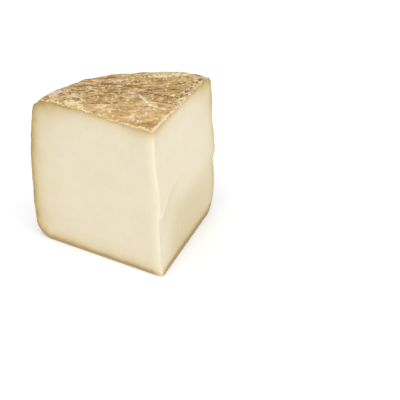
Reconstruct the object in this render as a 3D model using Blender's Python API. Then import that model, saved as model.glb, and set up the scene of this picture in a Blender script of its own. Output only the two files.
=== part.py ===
"""A cut piece of a sheep and goat tomme: one solid of paste under a natural rind.

The piece is a sector of a tall wheel. Its point is at -Y, the rind side at +Y, and its flat
base lies on z = 0 with the origin under the middle of its box. A half section of the wheel is
modelled once as a grid, spun through the angle of the cut, and then shaped by hand-cut relief.
"""

import bmesh
import bpy
from math import atan2, cos, exp, pi, radians, sin, sqrt
from mathutils import Vector, noise

# Driving dimensions, in metres and radians
WHEEL_RADIUS = 0.1062
WHEEL_HEIGHT = 0.115
CUT_ANGLE = radians(78.4)
TOP_CORNER = 0.0080
BASE_CORNER = 0.0120
SIDE_BULGE = 0.0041
TOP_FALL = 0.0017

# The wheel's middle, measured from the foot of the cut's point
MIDDLE_X = -0.0065
MIDDLE_Y = 0.0016

# The top of the cut's point leans over towards the left face
POINT_LEAN = 0.0067
LEAN_STEP = 0.34
LEAN_STEP_LOW = 0.58
LEAN_STEP_HIGH = 0.78

# A second stroke of the knife left a step in the right face, low down beside the point
STEP_DEPTH = 0.0014
STEP_FOOT = 0.047
STEP_RISE = 0.0135
STEP_REACH = 0.027
STEP_SOFTNESS = 0.0022
HOLLOW_LOW = 0.016
HOLLOW_REACH = 0.080

# Chips and swells down the right face beside the rind: height, depth outwards, half length
RIM_WAVES = ((0.0757, -0.0014, 0.009), (0.051, 0.0005, 0.004), (0.041, -0.0009, 0.004),
             (0.020, 0.0008, 0.010))
RIM_WAVE_REACH = 0.018

# Uneven rind, from broad swells to short wrinkles: size of a bump, height of a bump
RIND_SWELLS = ((0.045, 0.0005), (0.016, 0.0004), (0.007, 0.00025))
RIND_SEED = 240.0
RIND_FADE = 6

# Low waves that the knife left on both cut faces, level beside their edges
FACE_WAVES = ((0.040, 0.0004), (0.014, 0.00015))
FACE_SEED = 11.0
FACE_MARGIN = 0.025

# Grid: columns from the point to the rind, rows up the height, and turns of the spin
COLUMNS = 24
ROWS = 26
TURNS = 32
SAME_PLACE = 1e-6
SAME_ANGLE = 1e-3

RIND_COLOUR = (0.52, 0.34, 0.16, 1.0)
PASTE_COLOUR = (0.82, 0.73, 0.55, 1.0)
PASTE_ROUGHNESS = 0.5
RIND_ROUGHNESS = 0.85
CUT_SLOPE = radians(25.0)
SHARP_EDGE = radians(40.0)


def clear_scene():
    """Removes whatever the open file holds."""
    for thing in list(bpy.data.objects):
        bpy.data.objects.remove(thing, do_unlink=True)


def smooth_step(low, high, value):
    """Rises from 0 at low to 1 at high with level ends."""
    share = min(max((value - low) / (high - low), 0.0), 1.0)
    return share * share * (3.0 - 2.0 * share)


def layered_noise(place, layers, seed):
    """Adds up noise of several bump sizes at a place."""
    total = 0.0
    for size, height in layers:
        shift = Vector((seed, seed * 0.7, seed * 0.3))
        total += height * 2.0 * noise.noise(place / size + shift)
    return total


def round_corner(radius, height, corner, edge):
    """Turns the square corner of a grid into a quarter circle that ends at the given edge."""
    across = (radius - (WHEEL_RADIUS - corner)) / corner
    along = (height - edge) / corner
    if across <= 0.0 or along <= 0.0:
        return radius, height
    radius = WHEEL_RADIUS - corner + corner * across * sqrt(1.0 - along * along / 2.0)
    height = edge + corner * along * sqrt(1.0 - across * across / 2.0)
    return radius, height


def section_point(radius, height):
    """Gives the place in the wheel's half section of a point in its plain rectangle."""
    radius, height = round_corner(radius, height, TOP_CORNER, WHEEL_HEIGHT - TOP_CORNER)
    radius, mirrored = round_corner(radius, -height, BASE_CORNER, -BASE_CORNER)
    height = -mirrored
    share = radius / WHEEL_RADIUS
    from_middle = 2.0 * height / WHEEL_HEIGHT - 1.0
    top_share = height / WHEEL_HEIGHT
    return (radius - SIDE_BULGE * share * from_middle ** 2,
            height - TOP_FALL * share ** 2 * top_share ** 4)


def model_section(bm):
    """Makes the half section as a grid in the plane of the left cut."""
    made = bmesh.ops.create_grid(bm, x_segments=COLUMNS, y_segments=ROWS, size=0.5)
    for vert in made["verts"]:
        across = vert.co.x + 0.5
        up = vert.co.y + 0.5
        radius, height = section_point(across * WHEEL_RADIUS, up * WHEEL_HEIGHT)
        angle = -CUT_ANGLE / 2.0
        vert.co = (radius * sin(angle), radius * cos(angle), height)
    return bm.faces[:] + bm.edges[:] + bm.verts[:]


def spin_section(bm, section):
    """Sweeps the section to the right cut and closes the mesh along the cut's point."""
    bmesh.ops.spin(bm, geom=section, cent=(0, 0, 0), axis=(0, 0, 1), angle=-CUT_ANGLE,
                   steps=TURNS, use_merge=False, use_normal_flip=False, use_duplicate=False)
    bmesh.ops.remove_doubles(bm, verts=bm.verts[:], dist=SAME_PLACE)
    bmesh.ops.recalc_face_normals(bm, faces=bm.faces[:])


def rim_reach(angle):
    """Gives how far the rind is from the point, as the point isn't the wheel's middle."""
    along = MIDDLE_X * sin(angle) + MIDDLE_Y * cos(angle)
    apart = MIDDLE_X ** 2 + MIDDLE_Y ** 2
    return along + sqrt(WHEEL_RADIUS ** 2 - apart + along ** 2)


def lean_share(height):
    """Gives the point's lean at a height, as a share of the lean at its top."""
    up = height / WHEEL_HEIGHT
    return (1.0 - LEAN_STEP) * up + LEAN_STEP * smooth_step(LEAN_STEP_LOW, LEAN_STEP_HIGH, up)


def rim_wave(radius, height):
    """Gives the chips and swells of the right face beside the rind."""
    wave = 0.0
    for middle, depth, half_length in RIM_WAVES:
        wave += depth * exp(-((height - middle) / half_length) ** 2)
    return wave * smooth_step(WHEEL_RADIUS - RIM_WAVE_REACH, WHEEL_RADIUS, radius)


def knife_step(radius, height):
    """Gives how deep the right face lies under the step that the knife left."""
    share = min(radius / STEP_REACH, 1.0)
    ridge = STEP_FOOT + STEP_RISE * sin(share * pi / 2.0)
    below = smooth_step(ridge, ridge - STEP_SOFTNESS, height)
    fade = smooth_step(HOLLOW_REACH, STEP_REACH, radius) * smooth_step(0.0, HOLLOW_LOW, height)
    return STEP_DEPTH * below * fade


def shape_vertex(co):
    """Moves a point of the plain sector to its place on the finished piece."""
    radius = sqrt(co.x ** 2 + co.y ** 2)
    angle = atan2(co.x, co.y) if radius > SAME_PLACE else 0.0
    height = co.z
    share = radius / WHEEL_RADIUS
    up = height / WHEEL_HEIGHT
    reach = rim_reach(angle)
    place = Vector((radius * sin(angle), radius * cos(angle), height))
    rind = layered_noise(place, RIND_SWELLS, RIND_SEED)
    radius = radius * reach / WHEEL_RADIUS + rind * share ** RIND_FADE
    if height > SAME_PLACE:
        height += rind * up ** RIND_FADE
    moved = Vector((radius * sin(angle), radius * cos(angle), height))
    left = Vector((-sin(CUT_ANGLE / 2.0), cos(CUT_ANGLE / 2.0), 0.0))
    moved += left * POINT_LEAN * lean_share(height) * (1.0 - min(share, 1.0))
    if radius > SAME_PLACE and height > SAME_PLACE:
        moved += face_relief(angle, share * WHEEL_RADIUS, height, share, up)
    return moved


def face_relief(angle, radius, height, share, up):
    """Gives the shift of a point on a cut face, square to that face."""
    if abs(abs(angle) - CUT_ANGLE / 2.0) > SAME_ANGLE:
        return Vector((0.0, 0.0, 0.0))
    side = 1.0 if angle > 0.0 else -1.0
    outwards = Vector((side * cos(angle), -abs(sin(angle)), 0.0))
    inner = (1.0 - share ** RIND_FADE) * (1.0 - up ** RIND_FADE) * min(radius / FACE_MARGIN, 1.0)
    place = Vector((radius * side, 0.0, height))
    depth = layered_noise(place, FACE_WAVES, FACE_SEED) * inner
    if side > 0.0:
        depth += rim_wave(radius, height) - knife_step(radius, height)
    return outwards * depth


def centre_on_base(bm):
    """Puts the origin under the middle of the piece's box."""
    xs = [vert.co.x for vert in bm.verts]
    ys = [vert.co.y for vert in bm.verts]
    middle = Vector(((min(xs) + max(xs)) / 2.0, (min(ys) + max(ys)) / 2.0, 0.0))
    bmesh.ops.translate(bm, verts=bm.verts[:], vec=-middle)


def join_base(bm):
    """Makes the flat base one face."""
    base = [face for face in bm.faces if all(vert.co.z < SAME_PLACE for vert in face.verts)]
    bmesh.ops.dissolve_faces(bm, faces=base, use_verts=False)


def food_material(name, colour, roughness):
    """Makes a plain material for the paste or the rind."""
    material = bpy.data.materials.new(name)
    material.use_nodes = True
    shader = material.node_tree.nodes["Principled BSDF"]
    shader.inputs["Base Color"].default_value = colour
    shader.inputs["Roughness"].default_value = roughness
    shader.inputs["Metallic"].default_value = 0.0
    return material


def colour_rind(mesh):
    """Gives the rind's slot to the faces that aren't part of a cut."""
    left = Vector((-cos(CUT_ANGLE / 2.0), -sin(CUT_ANGLE / 2.0), 0.0))
    right = Vector((cos(CUT_ANGLE / 2.0), -sin(CUT_ANGLE / 2.0), 0.0))
    for polygon in mesh.polygons:
        on_cut = max(polygon.normal.dot(left), polygon.normal.dot(right)) > cos(CUT_SLOPE)
        polygon.material_index = 0 if on_cut else 1


def model_piece():
    """Models the cut piece as one closed solid."""
    bm = bmesh.new()
    spin_section(bm, model_section(bm))
    for vert in bm.verts:
        vert.co = shape_vertex(vert.co)
    centre_on_base(bm)
    join_base(bm)
    bmesh.ops.recalc_face_normals(bm, faces=bm.faces[:])
    mesh = bpy.data.meshes.new("tomme_piece")
    bm.to_mesh(mesh)
    bm.free()
    mesh.materials.append(food_material("paste", PASTE_COLOUR, PASTE_ROUGHNESS))
    mesh.materials.append(food_material("rind", RIND_COLOUR, RIND_ROUGHNESS))
    colour_rind(mesh)
    mesh.shade_smooth()
    mesh.set_sharp_from_angle(angle=SHARP_EDGE)
    piece = bpy.data.objects.new("tomme_piece", mesh)
    bpy.context.scene.collection.objects.link(piece)
    return piece


clear_scene()
model_piece()
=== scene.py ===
"""The looks of a cut piece of sheep and goat tomme, laid out as an add-on.

The piece is modelled like its solid, as a half section of the wheel that is spun through the
angle of the cut, with a fine grid that carries the wrinkles and scratches of the rind and the
drag marks of the knife. Crumbs of rind and paste lie along its cut edges.
"""

from math import atan2, cos, exp, hypot, pi, radians, sin, sqrt
from random import Random

import bmesh
import bpy
from bpy.props import FloatProperty, FloatVectorProperty, IntProperty, PointerProperty
from mathutils import Matrix, Vector, noise


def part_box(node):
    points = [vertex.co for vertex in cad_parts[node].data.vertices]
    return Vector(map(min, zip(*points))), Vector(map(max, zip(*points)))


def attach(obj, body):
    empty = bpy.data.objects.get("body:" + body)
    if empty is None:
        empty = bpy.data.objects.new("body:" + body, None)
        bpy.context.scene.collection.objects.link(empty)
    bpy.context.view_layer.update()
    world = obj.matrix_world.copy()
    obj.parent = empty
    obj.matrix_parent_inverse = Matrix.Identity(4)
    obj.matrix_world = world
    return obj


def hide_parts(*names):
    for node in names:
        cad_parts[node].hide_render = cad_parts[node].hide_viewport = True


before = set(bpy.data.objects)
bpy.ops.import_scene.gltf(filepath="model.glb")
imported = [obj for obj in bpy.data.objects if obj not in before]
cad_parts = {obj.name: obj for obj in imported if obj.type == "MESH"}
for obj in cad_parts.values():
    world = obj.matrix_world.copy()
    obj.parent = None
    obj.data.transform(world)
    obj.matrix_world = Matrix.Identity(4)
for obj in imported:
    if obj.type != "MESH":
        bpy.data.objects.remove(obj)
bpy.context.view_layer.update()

bl_info = {
    "name": "Cut Tomme",
    "version": (1, 0, 0),
    "blender": (4, 5, 0),
    "location": "3D View > Sidebar > Tomme",
    "description": "Models a cut piece of sheep and goat tomme and its studio",
    "category": "Object",
}

NODE = "tomme_piece"
BODY = "root"
BOX_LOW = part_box(NODE)[0]

# The foot of the cut's point, and the wheel's middle measured from it
POINT_FOOT = Vector((0.0023, BOX_LOW.y, 0.0))
MIDDLE_X = -0.0065
MIDDLE_Y = 0.0016

# The lean of the cut's point, as shares of the height
LEAN_STEP = 0.34
LEAN_STEP_HEIGHTS = (0.58, 0.78)

# The knife's step in the right face
STEP_FOOT = 0.047
STEP_RISE = 0.0135
STEP_START = 0.005
STEP_REACH = 0.027
STEP_SOFTNESS = 0.0012
HOLLOW_LOW = 0.016
HOLLOW_REACH = 0.08

# Chips and swells down the right face beside the rind: height, depth outwards, half length
RIM_WAVES = ((0.0757, -0.0014, 0.009), (0.051, 0.0005, 0.004), (0.041, -0.0009, 0.004),
             (0.02, 0.0008, 0.01), (0.045, 0.0006, 0.045), (0.098, -0.0008, 0.012))
RIM_WAVE_REACH = 0.018

# Uneven rind, from broad swells to short wrinkles: size of a bump, height of a bump
RIND_SWELLS = ((0.045, 0.0005), (0.016, 0.0004), (0.007, 0.00025))
RIND_SEED = 240.0
RIND_FADE = 6
FACE_WAVES = ((0.04, 0.0004), (0.014, 0.00015))
FACE_SEED = 11.0
FACE_MARGIN = 0.025

# Fine relief of the rind: the wrinkles run across the line of sight
GRAIN_TURN = radians(-18.7)
TO_GRAIN = Matrix.Rotation(-GRAIN_TURN, 3, "Z")
GRAIN_STRETCH = 3.0
WRINKLES = ((0.004, 0.00022), (0.0022, 0.00014))
WRINKLE_SEED = 7.0
SIDE_WRINKLES = 0.45
LIP_WIDTH = 0.0018
LIP_HEIGHT = 0.00055
LIP_WHOLE = (0.045, 0.025)
LIP_GRAIN = (0.0028, 53.0)
LEFT_LIP = 0.45
SCRATCH_DEPTH = 0.00035
SCRATCH_WIDTH = 0.001
BLOOM_RISE = 0.0002
FAR_AWAY = 0.02

# Pale bloom down the side: size, seed and share of its noises, and where it starts and is full
SIDE_BLOOM = ((0.026, 47.0, 1.0), (0.007, 23.0, 0.5))
SIDE_BLOOM_EDGE = (0.05, 0.55)
SIDE_BLOOM_TOP = (0.106, 0.09)
SIDE_BLOOM_CUT = (0.0, 0.012)
SIDE_BLOOM_SQUASH = 1.8
SIDE_BLOOM_SHARE = 0.8

# Wear of the upper rim, each stretch by the angles where it starts and is full, and its depth
RIM_WEAR = ((radians(-8.0), radians(-26.0), 0.0012), (radians(-34.0), radians(-39.0), 0.001),
            (radians(32.0), radians(39.0), 0.0018))
RIM_DIP_ANGLE = radians(-12.5)
RIM_DIP_WIDTH = radians(6.0)
RIM_DIP = 0.0009
RIM_WEAR_REACH = 0.009

# Fine relief of the paste
DRAG_WIDTH = 0.0014
DRAG_LENGTH = 0.012
DRAG_DEPTH = 0.00018
POINT_BLUNT = 0.00045
POINT_BLUNT_REACH = 0.002
FOOT_WEAR = 0.0011
FOOT_WEAR_REACH = 0.0045

# The dragged lower part of the right face, darker and yellower, partly as dragged paste and
# partly as painted shade where the face turns down: heights and distances from the point where
# it starts and is full, its ragged edge, and how it fades towards the rind
DRAGGED_SHADE_HEIGHTS = (0.054, 0.026)
DRAGGED_SHADE_REACH = (0.004, 0.04)
RAGGED_HEIGHT = 0.004
RAGGED_NOISE = (0.02, 31.0)
DRAGGED_SHADE_FADE = (0.075, 0.1)
DRAGGED_SHADE_LOSS = 0.4

# The part of it beside the point, below the knife's step, where the step's painted shade falls
BESIDE_NEAR = (0.002, 0.01)
BESIDE_FAR = (0.045, 0.02)
BESIDE_HEIGHTS = (0.018, 0.044)
BESIDE_SHARE = 0.45

# Pale bloom on the top: place from the origin, half sizes along and across the grain, strength
BLOOM_PATCHES = (
    (-0.0486, 0.0285, 0.0052, 0.005, 1.3), (-0.0388, 0.0196, 0.006, 0.004, 1.0),
    (-0.041, 0.03, 0.004, 0.002, 0.6), (0.006, -0.017, 0.0055, 0.0036, 0.4),
    (0.0105, -0.02, 0.006, 0.0026, 0.4), (-0.0071, -0.0229, 0.006, 0.0046, 0.6),
    (-0.0205, -0.0078, 0.0058, 0.0032, 0.6), (0.002, 0.013, 0.0034, 0.0034, 0.9),
    (-0.005, 0.033, 0.007, 0.0026, 0.7), (-0.024, 0.024, 0.006, 0.0024, 0.6),
)
# Places where the rind broke away and shows cream
CREAM_PATCHES = (
    (-0.0436, 0.0096, 0.0074, 0.005, 1.0), (-0.0385, 0.0035, 0.004, 0.004, 0.9),
    (-0.0531, 0.0199, 0.0042, 0.0026, 0.8), (0.029, -0.0002, 0.0022, 0.002, 1.0),
    (-0.0045, 0.0021, 0.0018, 0.002, 0.9), (0.0125, -0.03, 0.0022, 0.002, 0.8),
    (0.0548, 0.0184, 0.006, 0.0018, 1.2), (0.0321, 0.0297, 0.011, 0.002, 1.6),
)
# Warm amber where the rind is thin, at the point and along the left cut
AMBER_PATCHES = (
    (-0.001, -0.04, 0.015, 0.013, 1.0), (-0.018, -0.014, 0.011, 0.007, 0.85),
    (-0.04, 0.015, 0.008, 0.004, 0.4), (0.036, 0.002, 0.005, 0.007, 0.5),
)
# Orange brown stains beside the cuts and on the point
RUST_PATCHES = (
    (-0.0478, 0.015, 0.002, 0.008, 1.0), (-0.0213, 0.014, 0.01, 0.0045, 0.5),
    (0.0335, 0.003, 0.0036, 0.0042, 0.9), (-0.0178, -0.0133, 0.005, 0.0034, 1.0),
    (-0.0008, -0.0388, 0.008, 0.0052, 1.5),
)
# Painted shade on the upper rim at the back; dark spots beside the right cut and on the point
DARK_SPOTS_AND_SHADE = ((0.0545, 0.0238, 0.005, 0.0018, 1.6), (0.038, 0.009, 0.006, 0.004, 0.4),
                (-0.0008, -0.04, 0.006, 0.0034, 0.35))

# Bright scratches and long cracks in the top, by their corners from the origin
SCRATCHES = (
    ((0.0059, 0.0076), (0.0068, 0.0006), (0.0075, -0.0074)),
    ((0.0082, -0.0099), (0.0122, -0.0146), (0.0166, -0.0201)),
    ((0.029, -0.0071), (0.0298, -0.0131)),
)
LONG_CRACKS = (
    ((0.004, 0.015), (0.0117, 0.0094), (0.0217, 0.0013), (0.0295, -0.0041)),
    ((-0.014, 0.031), (-0.0022, 0.0265), (0.0167, 0.0161), (0.026, 0.012)),
    ((0.013, -0.006), (0.02, -0.0108), (0.0272, -0.0155)),
    ((-0.033, 0.033), (-0.023, 0.031), (-0.013, 0.024)),
    ((-0.03, 0.006), (-0.022, 0.002), (-0.012, 0.001)),
    ((-0.0436, 0.02), (-0.04, 0.0158), (-0.0345, 0.0125)),
)
# Smooth pale band on the rounded rim at the back
PALE_BAND = (((0.0234, 0.037), (0.0336, 0.0336), (0.0433, 0.029), (0.0525, 0.0232),
              (0.0585, 0.0186)),)
PALE_BAND_WIDTH = 0.0048

# Crumbly band along the top of the right cut
CRUMBLY_WIDTH = 0.01
CRUMBLY_REACH = (0.3, 0.55)

# Heights between which the side's rind turns into the top's
TOP_HEIGHTS = (0.104, 0.11)

# Marks that the mesh carries: depths under the parts of the rind, and what the surface shows
DEPTHS = ("side_depth", "top_depth", "base_depth")
MARKS = ("cut_depth", "bloom", "cream", "amber", "rust", "dark", "crumbly", "scratch",
         "long_crack", "pale_band", "near_point", "dragged", "point", "ridge", "side")
# Painted highlight along the cut's point: how far it reaches into the left and the right face
POINT_HIGHLIGHT_LEFT = 0.008
POINT_HIGHLIGHT_RIGHT = 0.0035
# Painted highlight along the knife's step, and a pale smear painted at half its strength on the
# left face
RIDGE_HIGHLIGHT_WIDTH = 0.0021
RIDGE_HIGHLIGHT_REACH = 0.02
SMEAR_HEIGHT = 0.0523
SMEAR_REACH = 0.012

# Colours under the rind: share of the depth, and share of the way to the next colour
PASTE_DEPTH = 0.03
SKIN_STOPS = ((0.0, 0.0), (0.028, 0.34), (0.055, 0.6), (0.083, 1.0))
PASTE_STOPS = ((0.111, 0.12), (0.15, 0.35), (0.22, 0.59), (0.3, 0.73), (0.45, 0.88), (1.0, 1.0))

# X from which the paste belongs wholly to the right cut
RIGHT_START = 0.01

# Colours of the rind: place in the noise, and share of the way to the pale or dark colour
RIND_STOPS = ((0.38, -0.62), (0.445, -0.3), (0.5, 0.0), (0.555, 0.38), (0.65, 0.95))
GRAIN_STOPS = ((0.41, -0.7), (0.455, -0.38), (0.485, 0.0), (0.515, 0.75))

# Grid of the fine mesh
COLUMNS = 116
ROWS = 124
TURNS = 150
SAME_PLACE = 1e-6
SAME_ANGLE = 1e-3

# Crumbs: smallest radius and its growth, place beside the edge, stretch and bumps
CRUMB_SEED = 7
CRUMB_RADIUS = 0.00022
CRUMB_GROWTH = 0.00045
CRUMB_INWARDS = (-0.0001, 0.0009)
CRUMB_UPWARDS = (-0.0003, 0.0002)
CRUMB_STRETCH = ((0.9, 2.0), (0.7, 1.2), (0.6, 1.0))
CRUMB_BUMPS = 0.35

# The floor glows more far away, between two distances
FLOOR_SIZE = 8.0
FLOOR_GAP = 0.0003
FLOOR_GLOWS = (0.21, 0.36)
FAR_REACH = (0.7, 2.5)
FLOOR_COLOUR = (238, 240, 243)
WHITE = (1.0, 1.0, 1.0, 1.0)

# Large soft lights: place and width. The sky is whitest close to the horizon
LIGHT_AIM = (0.0, 0.0, 0.05)
LIGHTS = {"key": ((-0.5, -0.5, 2.1), 1.6), "fill": ((1.3, -1.2, 1.0), 1.2)}
HORIZON = (0.06, 0.14)

# The camera's place from the foot of the point, in wheel heights
CAMERA_LEFT = 0.2293
CAMERA_UP = 0.4765
CAMERA_BACK = 12.268


def linear(red, green, blue):
    """Turns a screen colour of 0 to 255 into Blender's linear values."""
    shares = [value / 255.0 for value in (red, green, blue)]
    return tuple(s / 12.92 if s <= 0.04045 else ((s + 0.055) / 1.055) ** 2.4 for s in shares)


def colour_setting(name, description, colour):
    """Makes a colour property with its default."""
    return FloatVectorProperty(name=name, description=description, subtype="COLOR", size=3,
                               min=0.0, max=1.0, default=colour)


def length_setting(name, description, length):
    """Makes a length property with its default."""
    return FloatProperty(name=name, description=description, unit="LENGTH", precision=4,
                         min=0.0, default=length)


class TommeSizes(bpy.types.PropertyGroup):
    """The sizes of the wheel and of the cut."""

    wheel_radius: length_setting("Wheel radius", "From the wheel's middle to its side", 0.1062)
    wheel_height: length_setting("Wheel height", "Height of the wheel at its middle", 0.115)
    top_corner: length_setting("Top corner", "Rounding of the upper rim", 0.008)
    base_corner: length_setting("Base corner", "Rounding of the lower rim", 0.012)
    side_bulge: length_setting("Side bulge", "How far the side stands out at mid height", 0.0041)
    top_fall: length_setting("Top fall", "How far the top drops to the rim", 0.0017)
    point_lean: length_setting("Point lean", "How far the top of the point leans", 0.0067)
    step_depth: length_setting("Step depth", "Depth of the knife's step", 0.0014)
    cut_angle: FloatProperty(name="Cut angle", description="Angle between the two cuts",
                             unit="ROTATION", min=0.2, max=3.0, default=radians(78.4))


class TommeColours(bpy.types.PropertyGroup):
    """The colours of the paste and the rind."""

    paste: colour_setting("Paste", "Middle of the cut faces", linear(233, 221, 193))
    paste_edge: colour_setting("Paste edge", "Paste close to the rind", linear(208, 184, 126))
    paste_skin: colour_setting("Paste skin", "The rind in section", linear(168, 140, 86))
    paste_foot: colour_setting("Paste foot", "The base's rind in section", linear(176, 160, 130))
    # Painted highlight: the bright paste along the point and on the knife's step
    painted_highlight: colour_setting("Paste glow", "Thin bright paste along the point",
                               linear(252, 241, 214))
    # Partly the tint of the dragged paste, partly painted shade where the lower right face turns
    # down
    dragged: colour_setting("Dragged", "Tint of the dragged lower part", (0.86, 0.82, 0.7))
    rind: colour_setting("Rind", "Most of the rind", linear(224, 184, 125))
    rind_side: colour_setting("Side rind", "The duller rind of the side", linear(158, 130, 92))
    # Also paints the cut lip, whose cream is partly a painted highlight
    rind_dark: colour_setting("Rind cracks", "Cracks and pits", linear(120, 76, 30))
    rind_pale: colour_setting("Rind flecks", "Pale flecks and the cut lip", linear(252, 230, 180))
    rind_grain: colour_setting("Grains", "Pale grains of the crumbly band",
                               linear(255, 238, 198))
    scratch: colour_setting("Scratches", "Fresh scratches in the rind", linear(255, 242, 216))
    bloom: colour_setting("Bloom", "Dry pale bloom", linear(247, 222, 190))
    amber: colour_setting("Amber", "Thin warm rind", linear(220, 180, 112))
    rust: colour_setting("Rust", "Orange brown rind", linear(186, 140, 74))


class TommeStudio(bpy.types.PropertyGroup):
    """The camera and the lights."""

    azimuth: FloatProperty(name="Azimuth", description="Turn of the line of sight from +Y",
                           unit="ROTATION", default=radians(18.7))
    elevation: FloatProperty(name="Elevation", description="Height of the camera's view",
                             unit="ROTATION", default=radians(31.25))
    lens: FloatProperty(name="Lens", description="Focal length of the camera",
                        unit="CAMERA", default=180.0)
    sky: FloatProperty(name="Sky", description="Strength of the even light", default=0.76)
    key: FloatProperty(name="Key", description="Power of the large soft light in watts",
                       default=13.0)
    fill: FloatProperty(name="Fill", description="Power of the light from the right in watts",
                        default=4.3)
    crumbs: IntProperty(name="Crumbs", description="Number of crumbs along the cuts",
                        min=0, default=210)


def smooth_step(low, high, value):
    """Rises from 0 at low to 1 at high with level ends."""
    share = min(max((value - low) / (high - low), 0.0), 1.0)
    return share * share * (3.0 - 2.0 * share)


def polar(radius, angle, height):
    """Gives the place at a distance from the point and an angle from +Y."""
    return Vector((radius * sin(angle), radius * cos(angle), height))


def layered_noise(place, layers, seed):
    """Adds up noise of several bump sizes at a place."""
    total = 0.0
    for size, height in layers:
        shift = Vector((seed, seed * 0.7, seed * 0.3))
        total += height * 2.0 * noise.noise(place / size + shift)
    return total


def signal(place, size, seed):
    """Gives one noise value of a bump size at a place."""
    return noise.noise(place / size + Vector((seed, -seed, seed * 0.5)))


def ridge_height(radius):
    """Gives the height of the knife's step in the right face."""
    share = max(radius - STEP_START, 0.0) / STEP_REACH
    return STEP_FOOT + STEP_RISE * sin(min(share, 1.0) * pi / 2.0)


def corner_depths(first, second, corner):
    """Gives the depths under the two sides of a rounded corner, which meet halfway round it."""
    across = corner - first
    along = corner - second
    nearest = max(corner - hypot(across, along), 0.0)
    turn = across / (across + along)
    return (nearest + (corner - nearest) * smooth_step(0.5, 0.0, turn),
            nearest + (corner - nearest) * smooth_step(0.5, 1.0, turn))


class Wheel:
    """The shape of the cut wheel, worked out from the sizes."""

    def __init__(self, sizes):
        self.radius = sizes.wheel_radius
        self.height = sizes.wheel_height
        self.top_corner = sizes.top_corner
        self.base_corner = sizes.base_corner
        self.bulge = sizes.side_bulge
        self.fall = sizes.top_fall
        self.lean = sizes.point_lean
        self.step = sizes.step_depth
        self.half = sizes.cut_angle / 2.0

    def round_corner(self, radius, height, corner, edge):
        """Turns the square corner of a grid into a quarter circle."""
        across = (radius - (self.radius - corner)) / corner
        along = (height - edge) / corner
        if across <= 0.0 or along <= 0.0:
            return radius, height
        radius = self.radius - corner + corner * across * sqrt(1.0 - along * along / 2.0)
        height = edge + corner * along * sqrt(1.0 - across * across / 2.0)
        return radius, height

    def section_point(self, radius, height):
        """Gives the place in the half section of a grid point, and its depths under the rind."""
        top_edge = self.height - self.top_corner
        radius, height = self.round_corner(radius, height, self.top_corner, top_edge)
        radius, mirrored = self.round_corner(radius, -height, self.base_corner,
                                             -self.base_corner)
        height = -mirrored
        depths = self.depths(radius, height)
        share = radius / self.radius
        from_middle = 2.0 * height / self.height - 1.0
        top_share = height / self.height
        return (radius - self.bulge * share * from_middle ** 2,
                height - self.fall * share ** 2 * top_share ** 4, depths)

    def depths(self, radius, height):
        """Gives the depths of a place in the section under the side, the top and the base."""
        side = self.radius - radius
        top = self.height - height
        base = height
        if side < self.top_corner and top < self.top_corner:
            side, top = corner_depths(side, top, self.top_corner)
        if side < self.base_corner and base < self.base_corner:
            side, base = corner_depths(side, base, self.base_corner)
        return side, top, base

    def rim_reach(self, angle):
        """Gives how far the rind is from the cut's point."""
        along = MIDDLE_X * sin(angle) + MIDDLE_Y * cos(angle)
        apart = MIDDLE_X ** 2 + MIDDLE_Y ** 2
        return along + sqrt(self.radius ** 2 - apart + along ** 2)

    def lean_share(self, height):
        """Gives the point's lean at a height, as a share of the lean at its top."""
        up = height / self.height
        step = LEAN_STEP * smooth_step(*LEAN_STEP_HEIGHTS, up)
        return (1.0 - LEAN_STEP) * up + step

    def lean_shift(self, share, height):
        """Gives how far a place leans to the left, by its share of the way from the point."""
        left = polar(1.0, -self.half, 0.0)
        return left * self.lean * self.lean_share(height) * (1.0 - min(share, 1.0))

    def rim_wave(self, radius, height):
        """Gives the chips and swells of the right face beside the rind."""
        wave = 0.0
        for middle, depth, half_length in RIM_WAVES:
            wave += depth * exp(-((height - middle) / half_length) ** 2)
        return wave * smooth_step(self.radius - RIM_WAVE_REACH, self.radius, radius)

    def knife_step(self, radius, height):
        """Gives how far under the knife's step a point of the right face lies, 0 to 1."""
        ridge = ridge_height(radius)
        below = smooth_step(ridge, ridge - STEP_SOFTNESS, height)
        fade = smooth_step(HOLLOW_REACH, STEP_REACH, radius)
        return below * fade * smooth_step(0.0, HOLLOW_LOW, height)


def patch_share(place, patches):
    """Gives how well a place lies inside any of the patches, 0 to 1."""
    best = 0.0
    for x, y, along_size, across_size, strength in patches:
        away = TO_GRAIN @ (place - Vector((x, y, 0.0)))
        inside = exp(-(away.x / along_size) ** 2 - (away.y / across_size) ** 2)
        best = max(best, strength * inside)
    return best


def line_distance(place, lines):
    """Gives how far a place is from the nearest of the lines, seen from above."""
    nearest = FAR_AWAY
    flat = Vector((place.x, place.y))
    for corners in lines:
        for start, end in zip(corners, corners[1:]):
            start = Vector(start)
            run = Vector(end) - start
            share = min(max((flat - start).dot(run) / run.length_squared, 0.0), 1.0)
            nearest = min(nearest, (flat - start - run * share).length)
    return nearest


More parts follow.
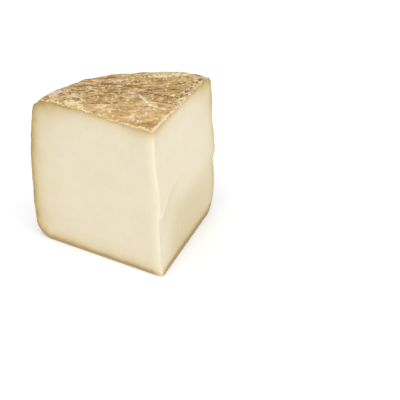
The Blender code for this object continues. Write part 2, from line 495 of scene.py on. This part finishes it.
def fine_rind(place, real, cut_depth, crumbly, marks):
    """Gives the fine relief of the rind at a place, and notes what it is made of."""
    on_top = smooth_step(*TOP_HEIGHTS, place.z)
    tall = Vector((place.x, place.y, place.z * SIDE_BLOOM_SQUASH))
    side_bloom = sum(part * signal(tall, size, seed) for size, seed, part in SIDE_BLOOM)
    side_bloom = smooth_step(*SIDE_BLOOM_EDGE, side_bloom) * smooth_step(*SIDE_BLOOM_TOP, place.z)
    side_bloom *= SIDE_BLOOM_SHARE * smooth_step(*SIDE_BLOOM_CUT, cut_depth)
    rust = patch_share(real, RUST_PATCHES) * on_top
    sound = 1.0 - min(rust, 1.0)
    marks["bloom"] = patch_share(real, BLOOM_PATCHES) * on_top * sound + side_bloom
    marks["cream"] = patch_share(real, CREAM_PATCHES) * on_top * sound
    marks["amber"] = patch_share(real, AMBER_PATCHES) * on_top
    marks["rust"] = rust
    # Partly real dark spots, partly painted shade on the back rim
    marks["dark"] = patch_share(real, DARK_SPOTS_AND_SHADE)
    marks["pale_band"] = smooth_step(PALE_BAND_WIDTH, 0.0, line_distance(real, PALE_BAND))
    marks["crumbly"] = crumbly * on_top
    marks["side"] = 1.0 - on_top
    if on_top > 0.5:
        marks["scratch"] = line_distance(real, SCRATCHES)
        marks["long_crack"] = line_distance(real, LONG_CRACKS)
    lip = smooth_step(LIP_WIDTH, 0.0, cut_depth) * (0.5 + 1.2 * signal(place, *LIP_GRAIN))
    along_grain = TO_GRAIN @ place
    along_grain.x /= GRAIN_STRETCH
    wrinkles = layered_noise(along_grain, WRINKLES, WRINKLE_SEED)
    relief = wrinkles * (SIDE_WRINKLES + (1.0 - SIDE_WRINKLES) * on_top) * (1.0 + crumbly)
    relief -= SCRATCH_DEPTH * exp(-(marks["scratch"] / SCRATCH_WIDTH) ** 2)
    return relief + LIP_HEIGHT * lip * on_top + BLOOM_RISE * marks["bloom"]


def rim_wear(wheel, angle, radius, height):
    """Gives how far the upper rim is worn at a place."""
    away = hypot(wheel.radius - radius, wheel.height - height) / RIM_WEAR_REACH
    wear = RIM_DIP * exp(-((angle - RIM_DIP_ANGLE) / RIM_DIP_WIDTH) ** 2)
    for start, full, depth in RIM_WEAR:
        turn = 1.0 if full > start else -1.0
        wear += depth * smooth_step(turn * start, turn * full, turn * angle)
    return wear * exp(-away ** 2)


def fine_paste(radius, height, side, dragged):
    """Gives the drag marks of the knife on a cut face."""
    place = Vector((radius / DRAG_WIDTH, side * 9.0, height / DRAG_LENGTH))
    drag = noise.noise(place + Vector((3.0, 0.0, 8.0)))
    return DRAG_DEPTH * drag * (0.1 + dragged)


def shape_vertex(wheel, vert, layers):
    """Moves a point of the plain sector to its place and notes its marks."""
    co = vert.co
    radius = hypot(co.x, co.y)
    angle = atan2(co.x, co.y) if radius > SAME_PLACE else 0.0
    height = co.z
    share = radius / wheel.radius
    up = height / wheel.height
    inside_cut = wheel.half - abs(angle)
    cut_depth = radius * inside_cut if radius > SAME_PLACE else 0.0
    place = polar(radius, angle, height)
    rind = layered_noise(place, RIND_SWELLS, RIND_SEED)
    marks = dict.fromkeys(MARKS, 0.0)
    marks.update(cut_depth=cut_depth, scratch=FAR_AWAY, long_crack=FAR_AWAY)
    marks["near_point"] = smooth_step(*LIP_WHOLE, radius) * (LEFT_LIP if angle < 0.0 else 1.0)
    # The point mark carries the painted highlight along the cut's point
    highlight_reach = POINT_HIGHLIGHT_LEFT if angle < 0.0 else POINT_HIGHLIGHT_RIGHT
    marks["point"] = max(1.0 - radius / highlight_reach, 0.0)
    if min(vert[layers[name]] for name in DEPTHS) < SAME_PLACE and height > SAME_PLACE:
        real = place * (wheel.rim_reach(angle) / wheel.radius) + POINT_FOOT
        real += wheel.lean_shift(share, height)
        crumbly = smooth_step(CRUMBLY_WIDTH, 0.0, cut_depth) * smooth_step(*CRUMBLY_REACH, share)
        rind += fine_rind(place, real, cut_depth, crumbly if angle > 0.0 else 0.0, marks)
    wear = rim_wear(wheel, angle, radius, height)
    radius_new = radius * wheel.rim_reach(angle) / wheel.radius + rind * share ** RIND_FADE - wear
    if height > SAME_PLACE:
        height += rind * up ** RIND_FADE - wear
    moved = polar(radius_new, angle, height) + wheel.lean_shift(share, height)
    if radius > SAME_PLACE and co.z > SAME_PLACE and inside_cut < SAME_ANGLE:
        moved += face_relief(wheel, angle, radius, co.z, up, marks)
    blunt = POINT_BLUNT * max(1.0 - radius / POINT_BLUNT_REACH, 0.0) ** 2
    worn = max(1.0 - radius / FOOT_WEAR_REACH, 0.0) * max(1.0 - height / FOOT_WEAR_REACH, 0.0)
    moved.y += blunt + FOOT_WEAR * worn ** 2
    for name, value in marks.items():
        vert[layers[name]] = value
    return moved


def face_relief(wheel, angle, radius, height, up, marks):
    """Gives the shift of a point on a cut face, square to that face."""
    side = 1.0 if angle > 0.0 else -1.0
    outwards = Vector((side * cos(angle), -abs(sin(angle)), 0.0))
    share = radius / wheel.radius
    inner = (1.0 - share ** RIND_FADE) * (1.0 - up ** RIND_FADE) * min(radius / FACE_MARGIN, 1.0)
    depth = layered_noise(Vector((radius * side, 0.0, height)), FACE_WAVES, FACE_SEED) * inner
    dragged = 0.0
    if side > 0.0:
        depth += wheel.rim_wave(radius, height) - wheel.step * wheel.knife_step(radius, height)
        # Share of the dragged lower part, darker as dragged paste and as painted shade
        ragged = RAGGED_HEIGHT * signal(Vector((radius, 0.0, height)), *RAGGED_NOISE)
        dragged = smooth_step(*DRAGGED_SHADE_HEIGHTS, height + ragged)
        dragged *= smooth_step(*DRAGGED_SHADE_REACH, radius)
        dragged *= 1.0 - DRAGGED_SHADE_LOSS * smooth_step(*DRAGGED_SHADE_FADE, radius)
        beside = smooth_step(*BESIDE_NEAR, radius) * smooth_step(*BESIDE_FAR, radius)
        beside *= smooth_step(*BESIDE_HEIGHTS, height)
        dragged = max(dragged, BESIDE_SHARE * beside * wheel.knife_step(radius, height))
    marks["dragged"] = dragged
    # The ridge mark carries the painted highlight on the knife's step
    marks["ridge"] = ridge_highlight(side, radius, height)
    return outwards * (depth + fine_paste(radius, height, side, dragged) * max(inner, 0.0))


def ridge_highlight(side, radius, height):
    """Gives how well a place lies on the painted highlight of the knife's step, 0 to 1."""
    # On the left face: a pale smear, painted with half the highlight
    if side < 0.0:
        away = (height - SMEAR_HEIGHT) / RIDGE_HIGHLIGHT_WIDTH
        return 0.5 * exp(-away ** 2) * smooth_step(SMEAR_REACH, 0.0, radius)
    away = (height - ridge_height(radius)) / RIDGE_HIGHLIGHT_WIDTH
    return exp(-away ** 2) * smooth_step(RIDGE_HIGHLIGHT_REACH, 0.6 * RIDGE_HIGHLIGHT_REACH, radius)


def add_section(bm, wheel, angle, columns, rows, layers):
    """Adds the half section as a grid in the plane of one cut."""
    made = bmesh.ops.create_grid(bm, x_segments=columns, y_segments=rows, size=0.5)
    for vert in made["verts"]:
        across = (vert.co.x + 0.5) * wheel.radius
        up = (vert.co.y + 0.5) * wheel.height
        radius, height, depths = wheel.section_point(across, up)
        vert.co = polar(radius, angle, height)
        for name, depth in zip(DEPTHS, depths):
            vert[layers[name]] = depth


def spin_rind(bm, wheel, turns):
    """Sweeps the section's outline from the left cut to the right cut."""
    outline = [edge for edge in bm.edges
               if edge.is_boundary and max(hypot(v.co.x, v.co.y) for v in edge.verts) > SAME_PLACE]
    corners = list({vert for edge in outline for vert in edge.verts})
    bmesh.ops.spin(bm, geom=outline + corners, cent=(0, 0, 0), axis=(0, 0, 1),
                   angle=-2.0 * wheel.half, steps=turns)


def model_wheel_piece(sizes):
    """Models the cut piece as one closed mesh with its marks as attributes."""
    wheel = Wheel(sizes)
    share = 1.0
    columns, rows, turns = (int(count * share) for count in (COLUMNS, ROWS, TURNS))
    bm = bmesh.new()
    layers = {name: bm.verts.layers.float.new(name) for name in DEPTHS + MARKS}
    add_section(bm, wheel, -wheel.half, columns, rows, layers)
    cut_faces = set(bm.faces)
    spin_rind(bm, wheel, turns)
    for face in bm.faces:
        face.material_index = 0 if face in cut_faces else 1
    add_section(bm, wheel, wheel.half, columns, rows, layers)
    bmesh.ops.remove_doubles(bm, verts=bm.verts[:], dist=SAME_PLACE)
    for vert in bm.verts:
        vert.co = shape_vertex(wheel, vert, layers)
    bmesh.ops.translate(bm, verts=bm.verts[:], vec=POINT_FOOT)
    bmesh.ops.recalc_face_normals(bm, faces=bm.faces[:])
    for edge in bm.edges:
        kinds = {face.material_index for face in edge.link_faces}
        edge.smooth = len(kinds) == 1
    for face in bm.faces:
        face.smooth = True
    return bm


def opaque(colour):
    """Adds a full alpha to a colour, and leaves the output of a node as it is."""
    return colour if isinstance(colour, bpy.types.NodeSocket) else (*colour[:3], 1.0)


class NodeTree:
    """A short way to build a material's nodes."""

    def __init__(self, name):
        self.material = bpy.data.materials.new(name)
        self.material.use_nodes = True
        self.tree = self.material.node_tree
        self.shader = self.tree.nodes["Principled BSDF"]

    def add(self, kind, inputs=(), **settings):
        """Adds a node, sets its properties, and sets or links its inputs."""
        node = self.tree.nodes.new(kind)
        for key, value in settings.items():
            setattr(node, key, value)
        for key, value in dict(inputs).items():
            self.put(node.inputs[key], value)
        return node

    def put(self, socket, value):
        """Sets a socket to a value, or links it to an output or to a mark by its name."""
        if isinstance(value, str):
            value = self.add("ShaderNodeAttribute", attribute_name=value).outputs["Fac"]
        if isinstance(value, bpy.types.NodeSocket):
            self.tree.links.new(value, socket)
        else:
            socket.default_value = value

    def place(self):
        """Reads the object's coordinates."""
        return self.add("ShaderNodeTexCoord").outputs["Object"]

    def mapped(self, vector, **inputs):
        """Turns, stretches or moves coordinates."""
        return self.add("ShaderNodeMapping", {"Vector": vector, **inputs}).outputs["Vector"]

    def shade(self, inputs):
        """Sets or links inputs of the shader, and gives the material."""
        for key, value in inputs.items():
            self.put(self.shader.inputs[key], value)
        return self.material

    def noise(self, vector, scale, detail, roughness=0.55, distortion=0.0):
        """Reads noise of a scale."""
        inputs = {"Vector": vector, "Scale": scale, "Detail": detail, "Roughness": roughness,
                  "Distortion": distortion}
        return self.add("ShaderNodeTexNoise", inputs).outputs["Fac"]

    def band(self, value, low, high, to_low=0.0, to_high=1.0):
        """Maps a value smoothly from one range to another."""
        inputs = {"Value": value, "From Min": low, "From Max": high, "To Min": to_low,
                  "To Max": to_high}
        node = self.add("ShaderNodeMapRange", inputs, interpolation_type="SMOOTHSTEP")
        return node.outputs["Result"]

    def math(self, operation, first, second, third=0.0):
        """Joins up to three values by an operation."""
        inputs = {0: first, 1: second, 2: third}
        return self.add("ShaderNodeMath", inputs, operation=operation).outputs["Value"]

    def times(self, first, second):
        """Multiplies two values."""
        return self.math("MULTIPLY", first, second)

    def plus(self, first, second):
        """Adds two values."""
        return self.math("ADD", first, second)

    def larger(self, first, second):
        """Takes the larger of two values."""
        return self.math("MAXIMUM", first, second)

    def mix(self, factor, first, second, blend_type="MIX"):
        """Mixes two colours."""
        inputs = {0: factor, 6: opaque(first), 7: opaque(second)}
        node = self.add("ShaderNodeMix", inputs, data_type="RGBA", blend_type=blend_type)
        return node.outputs[2]

    def ramp(self, value, stops):
        """Reads a colour from a ramp of (place, colour) stops."""
        node = self.add("ShaderNodeValToRGB", {"Fac": value})
        elements = node.color_ramp.elements
        while len(elements) < len(stops):
            elements.new(0.5)
        for element, (place, colour) in zip(elements, stops):
            element.position = place
            element.color = (*colour, 1.0)
        return node.outputs["Color"]

    def bump(self, height, distance, normal=None):
        """Turns a height into a normal."""
        inputs = {"Height": height, "Distance": distance}
        if normal is not None:
            inputs["Normal"] = normal
        return self.add("ShaderNodeBump", inputs).outputs["Normal"]


def grain_coordinates(nodes, stretch=1.0):
    """Gives the object's coordinates turned to the rind's grain and squeezed along it."""
    turned = nodes.mapped(nodes.place(), Rotation=(0.0, 0.0, -GRAIN_TURN))
    return nodes.mapped(turned, Scale=(1.0 / stretch, 1.0, 1.0))


def blend(first, second, share):
    """Gives the colour at a share of the way between two colours."""
    return Vector(first).lerp(Vector(second), share)


def under_side(nodes, across):
    """Gives the depth under the side's rind, counted as less where its band is wide."""
    right = nodes.band(across, 0.0, RIGHT_START)
    left = nodes.band(across, RIGHT_START, 0.0)
    upper = nodes.band("top_depth", 0.045, 0.012)
    lower = nodes.band("base_depth", 0.032, 0.012)
    ends = nodes.larger(upper, lower)
    squeeze = nodes.math("MULTIPLY_ADD", nodes.times(right, upper), -0.5, 1.0)
    squeeze = nodes.math("MULTIPLY_ADD", nodes.times(left, ends), -0.26, squeeze)
    side = nodes.times("side_depth", squeeze)
    thin = nodes.band("top_depth", 0.045, 0.012, 0.0022, 0.001)
    return nodes.math("MULTIPLY_ADD", right, thin, side)


def under_base(nodes, across):
    """Gives the depth inside the base's rind, which is thicker on the right cut."""
    rind = nodes.band(across, 0.0, RIGHT_START, 0.0015, 0.0027)
    steep = nodes.band("side_depth", 0.03, 0.055, 1.4, 1.8)
    steep = nodes.plus(steep, nodes.band(across, 0.0, RIGHT_START, 0.0, 0.5))
    base = nodes.math("SUBTRACT", "base_depth", rind)
    return nodes.times(base, steep)


def under_top(nodes):
    """Gives the depth under the top's rind, whose band is narrow in the middle of a cut."""
    thin = nodes.times(nodes.band("side_depth", 0.01, 0.058, 0.45, 1.9),
                       nodes.band("side_depth", 0.074, 0.092, 1.0, 0.62))
    return nodes.times(nodes.plus("top_depth", 0.0003), thin)


def point_lip(nodes):
    """Marks the pale lip that the knife left under the top beside the point."""
    lip = nodes.band("top_depth", 0.0014, 0.0004)
    return nodes.times(lip, nodes.band("side_depth", 0.07, 0.088, 0.0, 0.4))


def paste_tone(nodes, colours, uneven, across):
    """Colours the paste by its depth under the rind."""
    skin, edge, paste = colours.paste_skin, colours.paste_edge, colours.paste
    base = nodes.plus(under_base(nodes, across), uneven)
    nearest = nodes.math("SMOOTH_MIN", under_side(nodes, across), under_top(nodes), 0.004)
    nearest = nodes.math("SMOOTH_MIN", nodes.plus(nearest, uneven), base, 0.003)
    share = nodes.band(nearest, 0.0, PASTE_DEPTH)
    share.node.interpolation_type = "LINEAR"
    stops = [(place, blend(skin, edge, part)) for place, part in SKIN_STOPS]
    stops += [(place, blend(edge, paste, part)) for place, part in PASTE_STOPS]
    tone = nodes.mix(point_lip(nodes), nodes.ramp(share, stops), colours.rind_pale)
    foot = nodes.band(base, 0.001, -0.0008, 0.0, 0.75)
    return nodes.mix(foot, tone, colours.paste_foot)


def paste_material(colours):
    """Makes the ivory paste, darker and more yellow towards the rind."""
    nodes = NodeTree("tomme_paste")
    coordinates = nodes.place()
    uneven = nodes.band(nodes.noise(coordinates, 120.0, 5.0), 0.3, 0.7, -0.0006, 0.0006)
    place = nodes.add("ShaderNodeSeparateXYZ", {0: coordinates}).outputs
    tone = paste_tone(nodes, colours, uneven, place["X"])
    drag = nodes.mapped(coordinates, Scale=(1.0, 1.0, 0.09))
    lines = nodes.noise(drag, 620.0, 3.0)
    # Darker, yellower lower right face: dragged paste and painted shade
    tone = nodes.mix("dragged", tone, colours.dragged, "MULTIPLY")
    streaks = nodes.times(nodes.band(lines, 0.5, 0.7), "dragged")
    streaks = nodes.times(streaks, nodes.band(place["Z"], 0.003, 0.012))
    where = nodes.band(nodes.noise(coordinates, 60.0, 2.0), 0.42, 0.6, 0.08, 0.35)
    tone = nodes.mix(nodes.times(streaks, where), tone, colours.paste)
    # Painted highlight along the point and on the knife's step, and a pale smear on the left face
    below_top = nodes.band("top_depth", 0.0, 0.01, 0.1, 0.7)
    glow = nodes.larger(nodes.times("point", below_top), "ridge")
    tone = nodes.mix(glow, tone, colours.painted_highlight)
    mottle = nodes.noise(coordinates, 70.0, 6.0, roughness=0.6)
    curd = nodes.noise(coordinates, 420.0, 3.0)
    shade = nodes.plus(nodes.band(mottle, 0.25, 0.75, -0.022, 0.022),
                       nodes.band(curd, 0.25, 0.75, 0.99, 1.008))
    grey = nodes.add("ShaderNodeCombineColor", {0: shade, 1: shade, 2: shade}).outputs["Color"]
    pores = nodes.bump(nodes.noise(coordinates, 1500.0, 2.0), 0.00006)
    return nodes.shade({"Base Color": nodes.mix(1.0, tone, grey, "MULTIPLY"),
                        "Roughness": nodes.band(mottle, 0.3, 0.7, 0.48, 0.62),
                        "Normal": nodes.bump(lines, 0.00008, pores),
                        "Specular IOR Level": 0.35, "Subsurface Weight": 0.25,
                        "Subsurface Radius": (1.0, 0.65, 0.35), "Subsurface Scale": 0.004})


def wrinkle_lines(nodes, scale, stretch, width, seed):
    """Draws thin dark lines along the grain where a noise crosses its middle value."""
    place = nodes.mapped(grain_coordinates(nodes, stretch), Location=(seed, seed, seed))
    waves = nodes.noise(place, scale, 3.0, distortion=0.5)
    apart = nodes.math("ABSOLUTE", nodes.math("SUBTRACT", waves, 0.5), 0.0)
    return nodes.band(apart, width, width * 0.25)


def rind_shades(colours, stops):
    """Gives the stops of a ramp from the dark rind through the plain one to the pale one."""
    dark, pale = colours.rind_dark, colours.rind_pale
    return [(place, blend(colours.rind, dark if part < 0.0 else pale, abs(part)))
            for place, part in stops]


def rind_tone(nodes, colours, coarse, fine, patch):
    """Colours the sound rind: brown to tan, warmer in patches and duller down the side."""
    value = nodes.plus(nodes.times(coarse, 0.55), nodes.times(fine, 0.45))
    tone = nodes.ramp(value, rind_shades(colours, RIND_STOPS))
    amber = nodes.times("amber", nodes.band(coarse, 0.35, 0.6, 0.9, 0.45))
    amber = nodes.plus(amber, nodes.band(patch, 0.5, 0.7, 0.0, 0.35))
    amber = nodes.times(amber, nodes.band("side", 0.1, 0.7, 1.0, 0.3))
    tone = nodes.mix(amber, tone, colours.amber)
    rust = nodes.times("rust", nodes.band(fine, 0.4, 0.6, 0.9, 0.4))
    tone = nodes.mix(rust, tone, colours.rust)
    band = nodes.band("pale_band", 0.05, 0.45)
    band = nodes.times(band, nodes.band(coarse, 0.4, 0.52, 0.45, 0.9))
    tone = nodes.mix(band, tone, blend(colours.rind, colours.rind_pale, 0.9))
    grain = nodes.noise(grain_coordinates(nodes), 440.0, 1.5)
    shades = rind_shades(colours, GRAIN_STOPS) + [(0.555, colours.rind_grain)]
    grains = nodes.ramp(grain, shades)
    crumbly = nodes.band("crumbly", 0.02, 0.45, 0.0, 0.95)
    tone = nodes.mix(crumbly, tone, grains)
    return nodes.mix(nodes.times("side", 0.6), tone, colours.rind_side)


def rind_cracks(nodes, fine, gate):
    """Draws the cracks and wrinkles, deepest at the back and faint in the amber rind."""
    lines = nodes.times(wrinkle_lines(nodes, 165.0, 3.6, 0.05, 3.0),
                        nodes.band(gate, 0.44, 0.58, 0.1, 0.85))
    hair = nodes.times(wrinkle_lines(nodes, 330.0, 3.6, 0.06, 9.0), 0.45)
    warped = nodes.plus("long_crack", nodes.band(fine, 0.3, 0.7, -0.001, 0.001))
    long_crack = nodes.times(nodes.band(warped, 0.0011, 0.0004), 0.75)
    place = nodes.add("ShaderNodeSeparateXYZ", {0: grain_coordinates(nodes)}).outputs["Y"]
    faint = nodes.band(place, -0.012, 0.01, 0.45, 1.0)
    faint = nodes.times(faint, nodes.band("amber", 0.2, 0.9, 1.0, 0.4))
    natural = nodes.times(nodes.larger(lines, hair), faint)
    return nodes.larger(natural, long_crack)


def bright_places(nodes, fine, speck, ragged):
    """Marks where the rind shows cream: chips, flecks and the lip of the cuts."""
    cream = nodes.band(nodes.plus("cream", ragged), 0.42, 0.6)
    cream = nodes.times(cream, nodes.band(fine, 0.4, 0.47, 0.3, 1.0))
    on_top = nodes.band("side", 0.2, 0.8, 1.0, 0.25)
    flecks = nodes.times(nodes.band(speck, 0.59, 0.65, 0.0, 0.9), on_top)
    broken = nodes.times(nodes.band(speck, 0.38, 0.62, 0.0012, -0.0012),
                         nodes.band("near_point", 0.0, 1.0, 1.0, 0.25))
    # The lip of the cuts: a pale fringe, partly a painted highlight on the cut edge
    broken = nodes.math("MULTIPLY_ADD", "near_point", -0.0008, broken)
    lip = nodes.plus("cut_depth", broken)
    lip = nodes.times(nodes.band(lip, 0.0017, 0.0008), on_top)
    return nodes.larger(nodes.larger(cream, flecks), lip)


def scratch_lines(nodes, grit):
    """Draws the bright scratches with ragged edges."""
    scratch = nodes.plus("scratch", nodes.band(grit, 0.3, 0.7, -0.0006, 0.0006))
    return nodes.band(scratch, 0.0011, 0.0003, 0.0, 0.9)


def rind_material(colours):
    """Makes the dry brown rind with its cracks, flecks, bloom and cut lip."""
    nodes = NodeTree("tomme_rind")
    along = grain_coordinates(nodes, 2.0)
    plain = grain_coordinates(nodes)
    coarse = nodes.noise(along, 150.0, 7.0, roughness=0.68, distortion=0.4)
    fine = nodes.noise(grain_coordinates(nodes, 1.4), 430.0, 5.0, roughness=0.7)
    speck = nodes.noise(plain, 430.0, 3.0)
    grit = nodes.noise(plain, 900.0, 2.0, roughness=0.6)
    patch = nodes.noise(plain, 60.0, 3.0)
    gate = nodes.noise(plain, 90.0, 2.0)
    dark, pale = colours.rind_dark, colours.rind_pale
    tone = rind_tone(nodes, colours, coarse, fine, patch)
    crack = rind_cracks(nodes, fine, gate)
    tone = nodes.mix(crack, tone, dark)
    tone = nodes.mix(nodes.band(fine, 0.37, 0.31, 0.0, 0.85), tone, dark)
    ragged = nodes.band(nodes.plus(speck, grit), 0.75, 1.25, -0.5, 0.5)
    bloom = nodes.band(nodes.plus("bloom", ragged), 0.32, 0.66, 0.0, 0.85)
    tone = nodes.mix(bloom, tone, colours.bloom)
    # Dark spots, and painted shade on the back rim
    tone = nodes.mix(nodes.times("dark", 0.6), tone, dark)
    # Cream chips and flecks, and the cut lip, which is partly a painted highlight
    tone = nodes.mix(bright_places(nodes, fine, speck, ragged), tone, pale)
    tone = nodes.mix(scratch_lines(nodes, grit), tone, colours.scratch)
    rough = nodes.bump(coarse, 0.0012)
    rough = nodes.bump(nodes.math("SUBTRACT", fine, crack), 0.0008, rough)
    return nodes.shade({"Base Color": tone, "Roughness": nodes.band(fine, 0.3, 0.7, 0.9, 0.68),
                        "Normal": nodes.bump(speck, 0.0005, rough),
                        "Specular IOR Level": 0.25})


def crumb_material(colours):
    """Makes the pale broken crumbs of the cut edge."""
    nodes = NodeTree("tomme_crumb")
    uneven = nodes.noise(nodes.place(), 500.0, 3.0)
    tone = nodes.ramp(uneven, ((0.36, colours.rind), (0.46, colours.rind_pale),
                               (0.62, colours.paste)))
    return nodes.shade({"Base Color": tone, "Roughness": 0.7,
                        "Normal": nodes.bump(uneven, 0.0002)})


def add_object(name, data):
    """Adds an object to the scene."""
    thing = bpy.data.objects.new(name, data)
    bpy.context.scene.collection.objects.link(thing)
    return thing


def add_mesh(name, bm, *materials):
    """Adds an object to the scene with the mesh of a bmesh."""
    mesh = bpy.data.meshes.new(name)
    bm.to_mesh(mesh)
    bm.free()
    for material in materials:
        mesh.materials.append(material)
    return add_object(name, mesh)


def finish_piece(name, bm, slot, *materials):
    """Turns a bmesh into a piece of the object that rides on its body."""
    piece = add_mesh(name, bm, *materials)
    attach(piece, BODY)
    return piece


class TOMME_OT_model_piece(bpy.types.Operator):
    """Models the cut piece with its paste and rind"""

    bl_idname = "tomme.model_piece"
    bl_label = "Model the Cut Piece"

    def execute(self, context):
        colours = context.scene.tomme_colours
        bm = model_wheel_piece(context.scene.tomme_sizes)
        materials = (paste_material(colours), rind_material(colours))
        piece = finish_piece("cut_piece", bm, "paste", *materials)
        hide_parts(NODE)
        return {"FINISHED"}


def edge_place(wheel, side, share):
    """Gives a place on the top edge of one cut, at a share of the way from the point."""
    radius, height, _depth = wheel.section_point(share * wheel.radius, wheel.height)
    angle = side * wheel.half
    rind = layered_noise(polar(radius, angle, height), RIND_SWELLS, RIND_SEED)
    place = polar(radius * wheel.rim_reach(angle) / wheel.radius, angle, height + rind)
    return place + wheel.lean_shift(radius / wheel.radius, wheel.height) + POINT_FOOT


def model_crumbs(wheel, count):
    """Scatters crumbs along the top edges of both cuts."""
    draw = Random(CRUMB_SEED)
    bm = bmesh.new()
    for number in range(count):
        side = -1.0 if draw.random() < 0.5 else 1.0
        share = draw.random() ** 0.8 * 0.93 + 0.02
        place = edge_place(wheel, side, share)
        inwards = Vector((-side * cos(wheel.half), sin(wheel.half), 0.0))
        place += inwards * draw.uniform(*CRUMB_INWARDS)
        place.z += draw.uniform(*CRUMB_UPWARDS)
        size = CRUMB_RADIUS + CRUMB_GROWTH * draw.random() ** 2
        made = bmesh.ops.create_icosphere(bm, subdivisions=1, radius=size)
        turn = Matrix.Rotation(draw.uniform(0.0, 2.0 * pi), 3, "Z")
        stretch = Vector([draw.uniform(*limits) for limits in CRUMB_STRETCH])
        for vert in made["verts"]:
            bumpy = 1.0 + CRUMB_BUMPS * noise.noise(vert.co / size + Vector((number, 0.0, 0.0)))
            vert.co = place + turn @ (vert.co * stretch * bumpy)
    for face in bm.faces:
        face.smooth = True
    return bm


class TOMME_OT_scatter_crumbs(bpy.types.Operator):
    """Scatters crumbs of rind and paste along the cut edges"""

    bl_idname = "tomme.scatter_crumbs"
    bl_label = "Scatter the Crumbs"

    def execute(self, context):
        scene = context.scene
        bm = model_crumbs(Wheel(scene.tomme_sizes), scene.tomme_studio.crumbs)
        finish_piece("edge_crumbs", bm, "rind", crumb_material(scene.tomme_colours))
        return {"FINISHED"}


def add_area_light(name, place, size, power):
    """Adds a large soft light that faces the piece."""
    light = bpy.data.lights.new(name, "AREA")
    light.shape = "DISK"
    light.size = size
    light.energy = power
    lamp = add_object(name, light)
    lamp.location = place
    aim = Vector(LIGHT_AIM) - Vector(place)
    lamp.rotation_euler = aim.to_track_quat("-Z", "Y").to_euler()


def add_floor():
    """Adds the pale floor, which glows more far away."""
    bm = bmesh.new()
    bmesh.ops.create_grid(bm, x_segments=1, y_segments=1, size=FLOOR_SIZE / 2.0)
    bmesh.ops.translate(bm, verts=bm.verts[:], vec=(0.0, 0.0, -FLOOR_GAP))
    nodes = NodeTree("studio_floor")
    away = nodes.add("ShaderNodeVectorMath", {0: nodes.place()}, operation="LENGTH")
    glow = nodes.band(away.outputs["Value"], *FAR_REACH, *FLOOR_GLOWS)
    material = nodes.shade({"Base Color": opaque(linear(*FLOOR_COLOUR)), "Roughness": 0.9,
                            "Specular IOR Level": 0.1, "Emission Color": WHITE,
                            "Emission Strength": glow})
    floor = add_mesh("floor", bm, material)


def add_sky(strength):
    """Gives the scene an even white light, which meets the floor in white at the horizon."""
    world = bpy.data.worlds.new("studio_sky")
    world.use_nodes = True
    nodes, links = world.node_tree.nodes, world.node_tree.links
    background = nodes["Background"]
    background.inputs["Color"].default_value = WHITE
    height = nodes.new("ShaderNodeSeparateXYZ")
    links.new(nodes.new("ShaderNodeTexCoord").outputs["Generated"], height.inputs["Vector"])
    fade = nodes.new("ShaderNodeMapRange")
    keys = ("From Min", "From Max", "To Min", "To Max")
    for key, value in zip(keys, (*HORIZON, 1.0, strength)):
        fade.inputs[key].default_value = value
    links.new(height.outputs["Z"], fade.inputs["Value"])
    links.new(fade.outputs["Result"], background.inputs["Strength"])
    bpy.context.scene.world = world


def add_camera(wheel, studio):
    """Adds the camera, placed from the foot of the cut's point."""
    elevation, azimuth = studio.elevation, studio.azimuth
    forward = polar(cos(elevation), azimuth, -sin(elevation))
    right = Vector((cos(azimuth), -sin(azimuth), 0.0))
    up = right.cross(forward)
    away = (CAMERA_LEFT * right, CAMERA_UP * up, CAMERA_BACK * -forward)
    camera = add_object("camera", bpy.data.cameras.new("camera"))
    camera.location = POINT_FOOT + sum(away, Vector()) * wheel.height
    camera.rotation_euler = forward.to_track_quat("-Z", "Y").to_euler()
    camera.data.lens = studio.lens
    camera.data.clip_end = 30.0
    bpy.context.scene.camera = camera


class TOMME_OT_set_stage(bpy.types.Operator):
    """Sets the floor, the lights and the camera"""

    bl_idname = "tomme.set_stage"
    bl_label = "Set the Stage"

    def execute(self, context):
        studio = context.scene.tomme_studio
        add_floor()
        add_sky(studio.sky)
        for name, (place, size) in LIGHTS.items():
            add_area_light(f"{name}_light", place, size, getattr(studio, name))
        add_camera(Wheel(context.scene.tomme_sizes), studio)
        context.scene.view_settings.view_transform = "Standard"
        return {"FINISHED"}


class TOMME_PT_maker(bpy.types.Panel):
    """Lists the steps that make the piece"""

    bl_label = "Tomme"
    bl_space_type = "VIEW_3D"
    bl_region_type = "UI"
    bl_category = "Tomme"

    def draw(self, context):
        for name in SETTINGS:
            group = getattr(context.scene, name)
            for key in group.bl_rna.properties.keys():
                if key not in ("rna_type", "name"):
                    self.layout.prop(group, key)
        for operator in (TOMME_OT_model_piece, TOMME_OT_scatter_crumbs, TOMME_OT_set_stage):
            self.layout.operator(operator.bl_idname)


SETTINGS = {"tomme_sizes": TommeSizes, "tomme_colours": TommeColours,
            "tomme_studio": TommeStudio}
CLASSES = (*SETTINGS.values(), TOMME_OT_model_piece, TOMME_OT_scatter_crumbs,
           TOMME_OT_set_stage, TOMME_PT_maker)


def register():
    """Registers the settings, the operators and the panel."""
    for item in CLASSES:
        bpy.utils.register_class(item)
    for name, group in SETTINGS.items():
        setattr(bpy.types.Scene, name, PointerProperty(type=group))


def unregister():
    """Takes back what register did."""
    for name in SETTINGS:
        delattr(bpy.types.Scene, name)
    for item in reversed(CLASSES):
        bpy.utils.unregister_class(item)


def main():
    """Makes the piece and its stage."""
    register()
    bpy.ops.tomme.model_piece()
    bpy.ops.tomme.scatter_crumbs()
    bpy.ops.tomme.set_stage()


if __name__ == "__main__":
    main()
